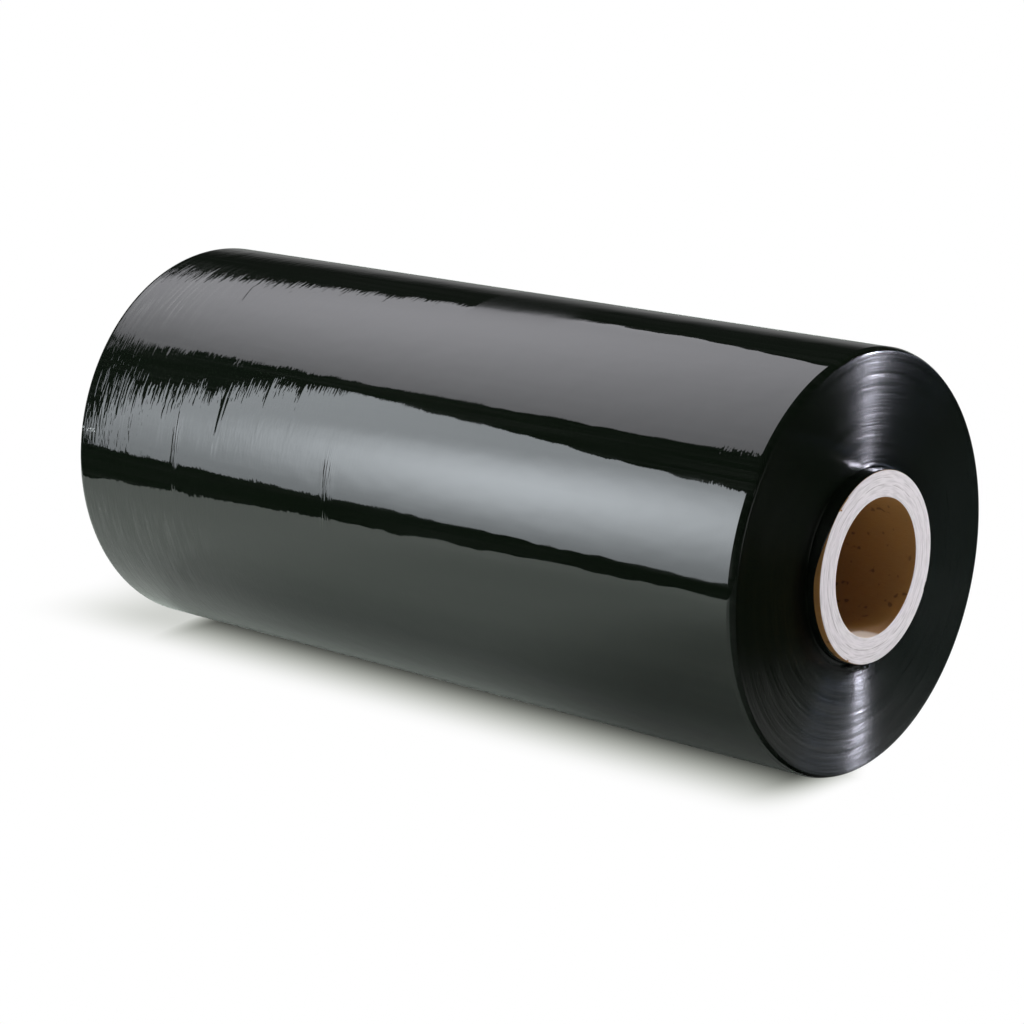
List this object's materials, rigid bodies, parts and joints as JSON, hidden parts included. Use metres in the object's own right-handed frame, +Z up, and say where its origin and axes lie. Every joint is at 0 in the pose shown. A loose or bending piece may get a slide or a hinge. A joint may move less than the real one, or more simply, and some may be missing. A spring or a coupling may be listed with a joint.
{
  "type": "stretch wrap roll",
  "caption": "Wide roll of glossy black machine stretch film wound on a paperboard core that stands out at both ends, lying on its side.",
  "frame": {"origin": "middle of the small flat spot that the roll rests on, at floor level under the middle of its length", "axes": "+X along the roll's axis, towards the end with the more rounded rim; +Z up"},
  "size_m": [0.517, 0.2374, 0.2369],
  "materials": {
    "black_film": "gloss",
    "paperboard": "matte"
  },
  "bodies": {
    "root": {"film_roll": "black_film", "core_tube": "paperboard"}
  },
  "joints": []
}
